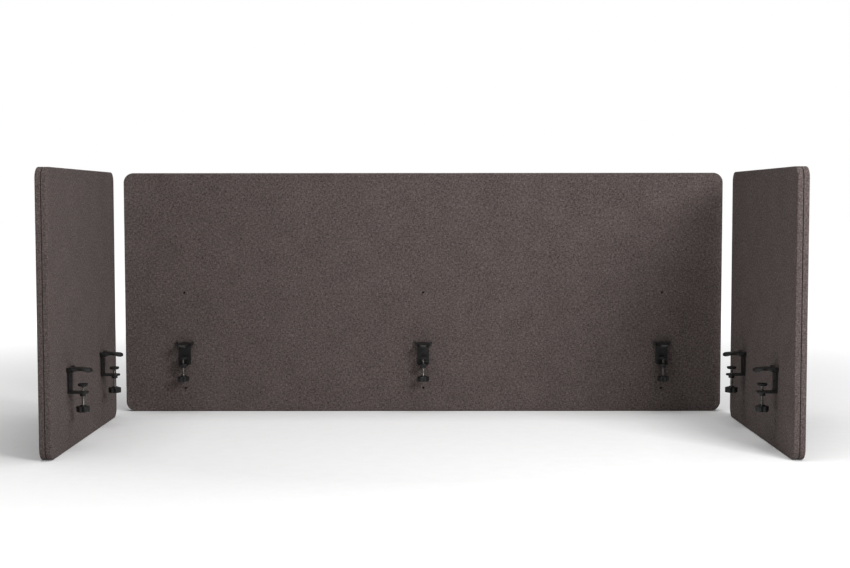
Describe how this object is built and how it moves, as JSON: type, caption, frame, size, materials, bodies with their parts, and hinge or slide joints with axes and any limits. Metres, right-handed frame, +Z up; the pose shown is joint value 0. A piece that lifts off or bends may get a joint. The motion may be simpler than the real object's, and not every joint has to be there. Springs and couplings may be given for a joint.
{
  "type": "desk privacy panel",
  "caption": "Fabric-covered acoustic privacy screen for a desk: a back panel and two side panels, held by screw clamps on the desk edge.",
  "frame": {"origin": "on the desk-top plane, at the middle of the desk's rear edge, under the heel of the middle back clamp", "axes": "+X to the right and along the back panel, +Y away from the user, +Z up"},
  "size_m": [1.5868, 0.7172, 0.6096],
  "materials": {
    "panel_fabric": "matte",
    "acoustic_felt": "matte",
    "core_board": "matte",
    "insert_metal": "satin",
    "black_screw": "satin",
    "clamp_paint": "satin",
    "jaw_plastic": "satin",
    "knob_plastic": "satin",
    "pad_rubber": "matte",
    "rubber": "matte",
    "zinc_rod": "satin"
  },
  "bodies": {
    "back_panel": {"back_clamp_screws": "black_screw", "back_core_sheet": "core_board", "back_front_board": "acoustic_felt", "back_front_cover": "panel_fabric", "back_jaw_rubbers": "rubber", "back_left_clamp_frame": "clamp_paint", "back_left_clamp_jaw": "jaw_plastic", "back_middle_clamp_frame": "clamp_paint", "back_middle_clamp_jaw": "jaw_plastic", "back_rear_board": "acoustic_felt", "back_rear_cover": "panel_fabric", "back_right_clamp_frame": "clamp_paint", "back_right_clamp_jaw": "jaw_plastic", "back_threaded_inserts": "insert_metal"},
    "left_panel": {"left_clamp_screws": "black_screw", "left_core_sheet": "core_board", "left_front_board": "acoustic_felt", "left_front_clamp_frame": "clamp_paint", "left_front_clamp_jaw": "jaw_plastic", "left_front_cover": "panel_fabric", "left_jaw_rubbers": "rubber", "left_rear_board": "acoustic_felt", "left_rear_clamp_frame": "clamp_paint", "left_rear_clamp_jaw": "jaw_plastic", "left_rear_cover": "panel_fabric", "left_threaded_inserts": "insert_metal"},
    "right_panel": {"right_clamp_screws": "black_screw", "right_core_sheet": "core_board", "right_front_board": "acoustic_felt", "right_front_clamp_frame": "clamp_paint", "right_front_clamp_jaw": "jaw_plastic", "right_front_cover": "panel_fabric", "right_jaw_rubbers": "rubber", "right_rear_board": "acoustic_felt", "right_rear_clamp_frame": "clamp_paint", "right_rear_clamp_jaw": "jaw_plastic", "right_rear_cover": "panel_fabric", "right_threaded_inserts": "insert_metal"},
    "back_left_pad": {"back_left_clamp_pad": "pad_rubber"},
    "back_left_screw": {"back_left_clamp_knob": "knob_plastic", "back_left_clamp_rod": "zinc_rod"},
    "back_middle_pad": {"back_middle_clamp_pad": "pad_rubber"},
    "back_middle_screw": {"back_middle_clamp_knob": "knob_plastic", "back_middle_clamp_rod": "zinc_rod"},
    "back_right_pad": {"back_right_clamp_pad": "pad_rubber"},
    "back_right_screw": {"back_right_clamp_knob": "knob_plastic", "back_right_clamp_rod": "zinc_rod"},
    "left_front_pad": {"left_front_clamp_pad": "pad_rubber"},
    "left_front_screw": {"left_front_clamp_knob": "knob_plastic", "left_front_clamp_rod": "zinc_rod"},
    "left_rear_pad": {"left_rear_clamp_pad": "pad_rubber"},
    "left_rear_screw": {"left_rear_clamp_knob": "knob_plastic", "left_rear_clamp_rod": "zinc_rod"},
    "right_front_pad": {"right_front_clamp_pad": "pad_rubber"},
    "right_front_screw": {"right_front_clamp_knob": "knob_plastic", "right_front_clamp_rod": "zinc_rod"},
    "right_rear_pad": {"right_rear_clamp_pad": "pad_rubber"},
    "right_rear_screw": {"right_rear_clamp_knob": "knob_plastic", "right_rear_clamp_rod": "zinc_rod"}
  },
  "joints": [
    {"name": "left_panel_shift", "type": "slide", "parent": "back_panel", "child": "left_panel", "axis": [0, 1, 0], "range_m": [-0.07, 0.07]},
    {"name": "right_panel_shift", "type": "slide", "parent": "back_panel", "child": "right_panel", "axis": [0, 1, 0], "range_m": [-0.07, 0.07]},
    {"name": "back_left_pad_lift", "type": "slide", "parent": "back_panel", "child": "back_left_pad", "axis": [0, 0, 1], "range_m": [-0.0105, 0.019]},
    {"name": "back_left_knob_turn", "type": "hinge", "parent": "back_left_pad", "child": "back_left_screw", "pos_m": [-0.6096, -0.024, -0.025], "axis": [0, 0, 1], "range_deg": [-3816, 6876]},
    {"name": "back_middle_pad_lift", "type": "slide", "parent": "back_panel", "child": "back_middle_pad", "axis": [0, 0, 1], "range_m": [-0.0105, 0.019]},
    {"name": "back_middle_knob_turn", "type": "hinge", "parent": "back_middle_pad", "child": "back_middle_screw", "pos_m": [0, -0.024, -0.025], "axis": [0, 0, 1], "range_deg": [-3816, 6876]},
    {"name": "back_right_pad_lift", "type": "slide", "parent": "back_panel", "child": "back_right_pad", "axis": [0, 0, 1], "range_m": [-0.0105, 0.019]},
    {"name": "back_right_knob_turn", "type": "hinge", "parent": "back_right_pad", "child": "back_right_screw", "pos_m": [0.6096, -0.024, -0.025], "axis": [0, 0, 1], "range_deg": [-3816, 6876]},
    {"name": "left_front_pad_lift", "type": "slide", "parent": "left_panel", "child": "left_front_pad", "axis": [0, 0, 1], "range_m": [-0.0105, 0.019]},
    {"name": "left_front_knob_turn", "type": "hinge", "parent": "left_front_pad", "child": "left_front_screw", "pos_m": [-0.738, -0.5334, -0.025], "axis": [0, 0, 1], "range_deg": [-3816, 6876]},
    {"name": "left_rear_pad_lift", "type": "slide", "parent": "left_panel", "child": "left_rear_pad", "axis": [0, 0, 1], "range_m": [-0.0105, 0.019]},
    {"name": "left_rear_knob_turn", "type": "hinge", "parent": "left_rear_pad", "child": "left_rear_screw", "pos_m": [-0.738, -0.2286, -0.025], "axis": [0, 0, 1], "range_deg": [-3816, 6876]},
    {"name": "right_front_pad_lift", "type": "slide", "parent": "right_panel", "child": "right_front_pad", "axis": [0, 0, 1], "range_m": [-0.0105, 0.019]},
    {"name": "right_front_knob_turn", "type": "hinge", "parent": "right_front_pad", "child": "right_front_screw", "pos_m": [0.738, -0.5334, -0.025], "axis": [0, 0, 1], "range_deg": [-3816, 6876]},
    {"name": "right_rear_pad_lift", "type": "slide", "parent": "right_panel", "child": "right_rear_pad", "axis": [0, 0, 1], "range_m": [-0.0105, 0.019]},
    {"name": "right_rear_knob_turn", "type": "hinge", "parent": "right_rear_pad", "child": "right_rear_screw", "pos_m": [0.738, -0.2286, -0.025], "axis": [0, 0, 1], "range_deg": [-3816, 6876]}
  ],
  "couplings": [
    {"joint": "back_left_knob_turn", "follows": "back_left_pad_lift", "rad_per_m": 6283.2},
    {"joint": "back_middle_knob_turn", "follows": "back_middle_pad_lift", "rad_per_m": 6283.2},
    {"joint": "back_right_knob_turn", "follows": "back_right_pad_lift", "rad_per_m": 6283.2},
    {"joint": "left_front_knob_turn", "follows": "left_front_pad_lift", "rad_per_m": 6283.2},
    {"joint": "left_rear_knob_turn", "follows": "left_rear_pad_lift", "rad_per_m": 6283.2},
    {"joint": "right_front_knob_turn", "follows": "right_front_pad_lift", "rad_per_m": 6283.2},
    {"joint": "right_rear_knob_turn", "follows": "right_rear_pad_lift", "rad_per_m": 6283.2}
  ]
}
